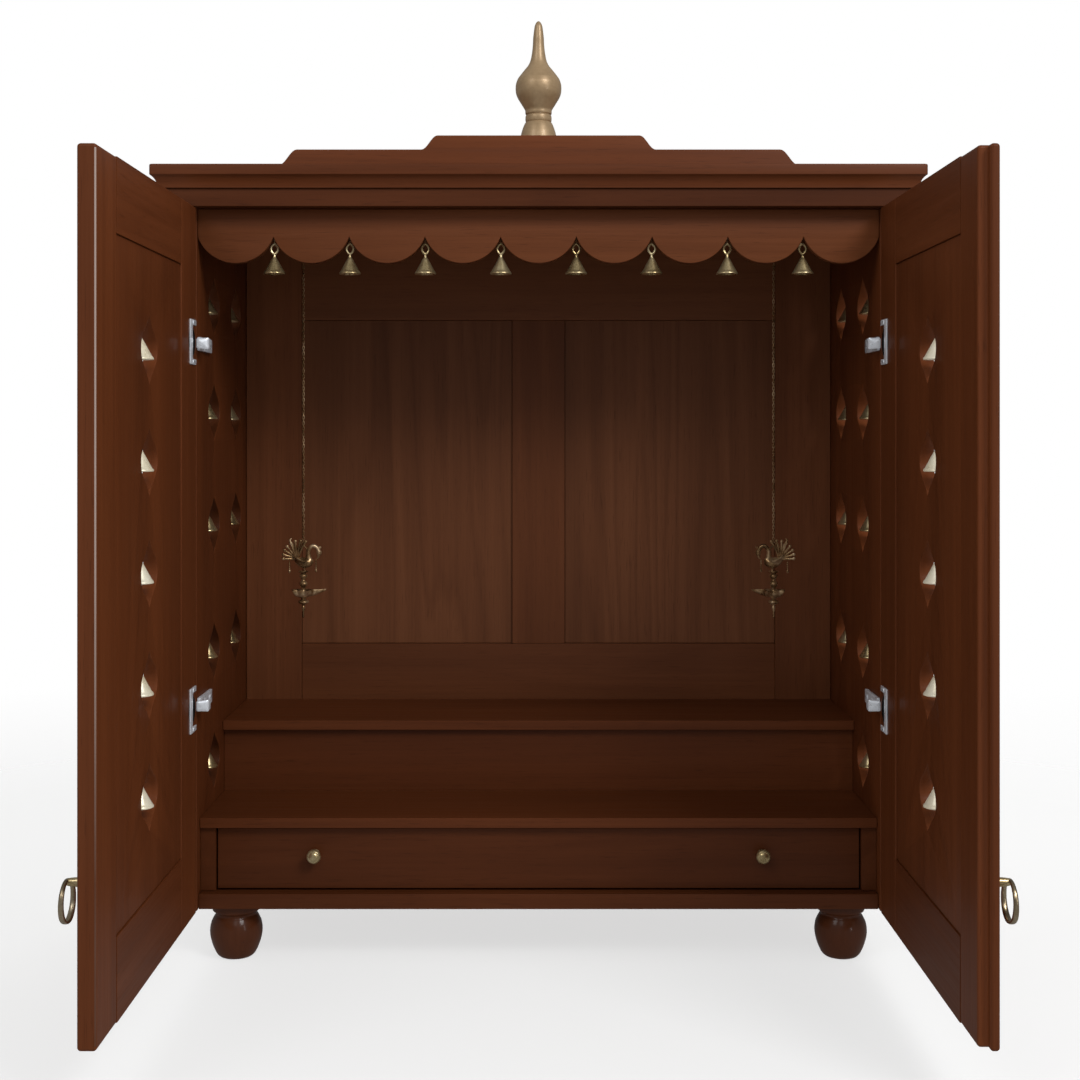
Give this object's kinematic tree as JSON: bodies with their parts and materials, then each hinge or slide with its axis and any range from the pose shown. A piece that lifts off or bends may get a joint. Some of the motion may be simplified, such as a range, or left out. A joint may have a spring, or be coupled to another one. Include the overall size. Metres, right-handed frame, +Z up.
{
  "type": "household altar cabinet",
  "caption": "Wooden home altar cabinet on bun feet, with two pierced doors, scalloped valance with bells, stepped crest with finial, inner steps over a drawer, and hanging bird lamps.",
  "frame": {"origin": "on the floor, under the middle of the box around the cabinet with both doors open at a right angle", "axes": "+Z up, +Y from the front of the cabinet towards its back, +X to the right of someone facing it"},
  "size_m": [0.898, 0.7642, 1.1085],
  "materials": {
    "lacquered_wood": "dark red-brown stained wood under satin lacquer, with straight grain",
    "brass": "polished cast brass, darker in its hollows",
    "chrome_plate": "bright nickel or chrome plated pressed steel",
    "gold_finish": "turned wood under a satin champagne-gold metallic paint"
  },
  "bodies": {
    "cabinet": {"side_wall_left": "lacquered_wood", "side_wall_right": "lacquered_wood", "bottom_board": "lacquered_wood", "lower_step": "lacquered_wood", "upper_step": "lacquered_wood", "step_riser": "lacquered_wood", "drawer_filler_left": "lacquered_wood", "drawer_filler_right": "lacquered_wood", "back_stile_left": "lacquered_wood", "back_stile_right": "lacquered_wood", "back_bottom_rail": "lacquered_wood", "back_top_rail": "lacquered_wood", "back_middle_stile": "lacquered_wood", "back_panel_left": "lacquered_wood", "back_panel_right": "lacquered_wood", "frieze_board": "lacquered_wood", "cornice": "lacquered_wood", "crest": "lacquered_wood", "valance": "lacquered_wood", "foot_front_left": "lacquered_wood", "foot_front_right": "lacquered_wood", "foot_back_left": "lacquered_wood", "foot_back_right": "lacquered_wood", "finial": "gold_finish", "valance_bell_1": "brass", "valance_bell_2": "brass", "valance_bell_3": "brass", "valance_bell_4": "brass", "valance_bell_5": "brass", "valance_bell_6": "brass", "valance_bell_7": "brass", "valance_bell_8": "brass", "hinge_arm_lower_left": "chrome_plate", "hinge_arm_upper_left": "chrome_plate", "hinge_arm_lower_right": "chrome_plate", "hinge_arm_upper_right": "chrome_plate", "hanging_lamp_left": "brass", "hanging_lamp_right": "brass"},
    "left_door": {"door_hinge_stile_left": "lacquered_wood", "door_meeting_stile_left": "lacquered_wood", "door_bottom_rail_left": "lacquered_wood", "door_top_rail_left": "lacquered_wood", "door_panel_left": "lacquered_wood", "hinge_cup_lower_left": "chrome_plate", "hinge_cup_upper_left": "chrome_plate", "pull_stud_left": "brass"},
    "left_ring": {"pull_ring_left": "brass"},
    "right_door": {"door_hinge_stile_right": "lacquered_wood", "door_meeting_stile_right": "lacquered_wood", "door_bottom_rail_right": "lacquered_wood", "door_top_rail_right": "lacquered_wood", "door_panel_right": "lacquered_wood", "hinge_cup_lower_right": "chrome_plate", "hinge_cup_upper_right": "chrome_plate", "pull_stud_right": "brass"},
    "right_ring": {"pull_ring_right": "brass"},
    "drawer": {"drawer_front": "lacquered_wood", "drawer_box": "lacquered_wood", "drawer_knob_left": "brass", "drawer_knob_right": "brass"}
  },
  "joints": [
    {"name": "left_door_hinge", "type": "hinge", "parent": "cabinet", "child": "left_door", "pos_m": [-0.414, 0.03112, 0.48], "axis": [0, 0, -1], "range_deg": [-90, 15]},
    {"name": "right_door_hinge", "type": "hinge", "parent": "cabinet", "child": "right_door", "pos_m": [0.414, 0.03112, 0.48], "axis": [0, 0, 1], "range_deg": [-90, 15]},
    {"name": "drawer_slide", "type": "slide", "parent": "cabinet", "child": "drawer", "axis": [0, -1, 0], "range_m": [0, 0.2]},
    {"name": "left_ring_swing", "type": "hinge", "parent": "left_door", "child": "left_ring", "pos_m": [-0.43715, -0.33837, 0.2104], "axis": [0, 1, 0], "range_deg": [0, 90]},
    {"name": "right_ring_swing", "type": "hinge", "parent": "right_door", "child": "right_ring", "pos_m": [0.43715, -0.33837, 0.2104], "axis": [0, -1, 0], "range_deg": [0, 90]}
  ]
}
